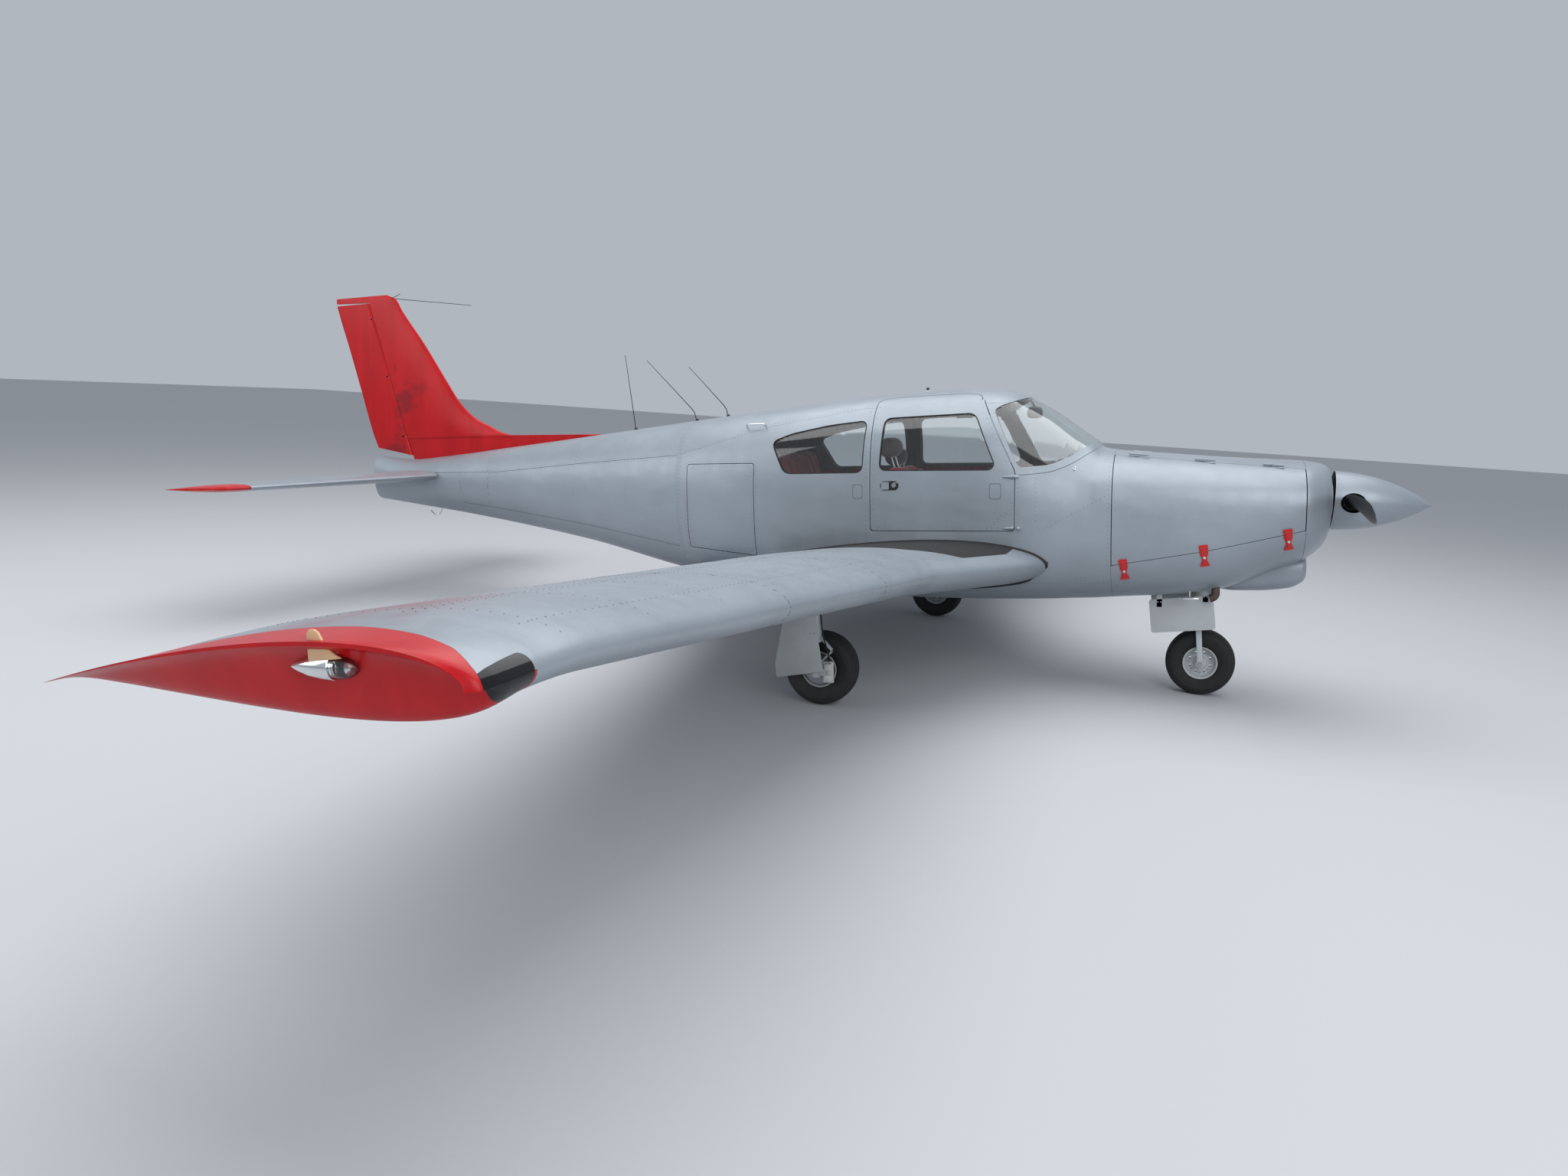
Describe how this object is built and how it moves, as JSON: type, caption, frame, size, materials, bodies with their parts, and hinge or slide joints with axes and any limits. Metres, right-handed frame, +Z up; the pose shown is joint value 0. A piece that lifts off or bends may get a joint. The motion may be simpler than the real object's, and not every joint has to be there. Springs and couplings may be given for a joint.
{
  "type": "light aircraft",
  "caption": "Low-wing light aircraft with a nose propeller, retractable nose-wheel gear, cabin and cowling doors, and an all-moving tailplane, parked on its wheels.",
  "frame": {"origin": "on the ground, under the middle of the overall box", "axes": "+X towards the nose, +Y towards the left wing tip, +Z up; the aircraft stands in its parked attitude, its fuselage datum 5.3 degrees nose up"},
  "size_m": [7.7034, 10.972, 2.2377],
  "materials": {
    "skin_paint": "aluminium sheet with satin grey-blue paint",
    "gear_paint": "aluminium with worn light grey paint",
    "red_paint": "aluminium sheet with faded gloss red paint",
    "tip_moulding": "glass-fibre moulding with faded gloss red paint",
    "clear": "clear acrylic sheet",
    "steel": "steel tube and sheet, painted or bare",
    "engine_metal": "plain dark block",
    "blade_metal": "aluminium with matt black paint",
    "tyre": "matt black rubber",
    "seat_cover": "red vinyl and cloth over foam",
    "panel_plastic": "matt dark trim"
  },
  "bodies": {
    "airframe": {"belly_panel": "skin_paint", "control_wheel_left": "panel_plastic", "control_wheel_right": "panel_plastic", "cowl_lower": "skin_paint", "cowl_top": "skin_paint", "engine_block": "engine_metal", "exhaust": "steel", "fin": "red_paint", "firewall": "steel", "front_seat_left": "seat_cover", "front_seat_right": "seat_cover", "instrument_panel": "panel_plastic", "main_gear_door_left": "gear_paint", "main_gear_door_right": "gear_paint", "main_leg_left": "steel", "main_leg_right": "steel", "nose_bowl": "skin_paint", "nose_door_left": "gear_paint", "nose_door_right": "gear_paint", "nose_leg": "steel", "rear_seat": "seat_cover", "roof_panel": "skin_paint", "side_panel_left": "skin_paint", "side_panel_right": "skin_paint", "tail_cone": "skin_paint", "window_left_front": "clear", "window_left_rear": "clear", "window_right_rear": "clear", "windshield": "clear", "wing_left": "skin_paint", "wing_right": "skin_paint", "wing_tip_left": "tip_moulding", "wing_tip_right": "tip_moulding"},
    "propeller": {"propeller": "blade_metal", "spinner": "skin_paint"},
    "nose_steering": {"nose_fork": "steel"},
    "nose_wheel": {"wheel_nose": "gear_paint", "tyre_nose": "tyre"},
    "left_wheel": {"wheel_left": "gear_paint", "tyre_left": "tyre"},
    "right_wheel": {"wheel_right": "gear_paint", "tyre_right": "tyre"},
    "cabin_door": {"cabin_door": "skin_paint", "door_window": "clear"},
    "baggage_door": {"baggage_door": "skin_paint"},
    "cowl_door_left": {"cowl_door_left": "skin_paint"},
    "cowl_door_right": {"cowl_door_right": "skin_paint"},
    "flap_left": {"flap_left": "skin_paint"},
    "flap_right": {"flap_right": "skin_paint"},
    "aileron_left": {"aileron_left": "skin_paint"},
    "aileron_right": {"aileron_right": "skin_paint"},
    "rudder": {"rudder": "red_paint"},
    "tailplane": {"tailplane": "skin_paint"},
    "trim_tab": {"trim_tab": "skin_paint"}
  },
  "joints": [
    {"name": "propeller_spin", "type": "hinge", "parent": "airframe", "child": "propeller", "pos_m": [3.43594, 0, 1.24925], "axis": [0.9997, 0, 0.0263], "continuous": true},
    {"name": "nose_steer", "type": "hinge", "parent": "airframe", "child": "nose_steering", "pos_m": [2.7416, 0, 0.20225], "axis": [-0.1494, 0, 0.9888], "range_deg": [-20, 20]},
    {"name": "nose_wheel_spin", "type": "hinge", "parent": "nose_steering", "child": "nose_wheel", "pos_m": [2.7416, 0, 0.20225], "axis": [0, 1, 0], "continuous": true},
    {"name": "left_wheel_spin", "type": "hinge", "parent": "airframe", "child": "left_wheel", "pos_m": [0.7761, 1.467, 0.20225], "axis": [0, 1, 0], "continuous": true},
    {"name": "right_wheel_spin", "type": "hinge", "parent": "airframe", "child": "right_wheel", "pos_m": [0.7761, -1.467, 0.20225], "axis": [0, 1, 0], "continuous": true},
    {"name": "cabin_door_hinge", "type": "hinge", "parent": "airframe", "child": "cabin_door", "pos_m": [1.60851, -0.6006, 1.12595], "axis": [-0.0926, 0, 0.9957], "range_deg": [0, 80]},
    {"name": "baggage_door_hinge", "type": "hinge", "parent": "airframe", "child": "baggage_door", "pos_m": [-0.0342, -0.57214, 0.91699], "axis": [-0.0926, 0, 0.9957], "range_deg": [0, 90]},
    {"name": "cowl_door_left_hinge", "type": "hinge", "parent": "airframe", "child": "cowl_door_left", "pos_m": [2.13345, 0.277, 1.44258], "axis": [1, 0, -0.0067], "range_deg": [0, 95]},
    {"name": "cowl_door_right_hinge", "type": "hinge", "parent": "airframe", "child": "cowl_door_right", "pos_m": [2.13345, -0.277, 1.44258], "axis": [-1, 0, 0.0067], "range_deg": [0, 95]},
    {"name": "flap_left_hinge", "type": "hinge", "parent": "airframe", "child": "flap_left", "pos_m": [0.02722, 0.64, 0.55775], "axis": [-0.1183, -0.9878, -0.1017], "range_deg": [0, 32]},
    {"name": "flap_right_hinge", "type": "hinge", "parent": "airframe", "child": "flap_right", "pos_m": [0.02722, -0.64, 0.55775], "axis": [0.1183, -0.9878, 0.1017], "range_deg": [0, 32]},
    {"name": "aileron_left_hinge", "type": "hinge", "parent": "airframe", "child": "aileron_left", "pos_m": [0.31844, 3.072, 0.80814], "axis": [-0.1184, -0.9879, -0.1003], "range_deg": [-30, 15]},
    {"name": "aileron_right_hinge", "type": "hinge", "parent": "airframe", "child": "aileron_right", "pos_m": [0.31844, -3.072, 0.80814], "axis": [0.1184, -0.9879, 0.1003], "range_deg": [-30, 15]},
    {"name": "rudder_hinge", "type": "hinge", "parent": "airframe", "child": "rudder", "pos_m": [-3.12741, 0, 0.98094], "axis": [-0.3311, 0, 0.9436], "range_deg": [-27, 27]},
    {"name": "tailplane_pivot", "type": "hinge", "parent": "airframe", "child": "tailplane", "pos_m": [-3.00544, 0, 0.88983], "axis": [0, -1, 0], "range_deg": [-15, 6]},
    {"name": "trim_tab_hinge", "type": "hinge", "parent": "tailplane", "child": "trim_tab", "pos_m": [-3.44853, 0, 0.84864], "axis": [0, -1, 0], "range_deg": [-13, 6]}
  ],
  "couplings": [
    {"joint": "flap_right_hinge", "follows": "flap_left_hinge", "ratio": 1},
    {"joint": "trim_tab_hinge", "follows": "tailplane_pivot", "ratio": 0.8}
  ]
}
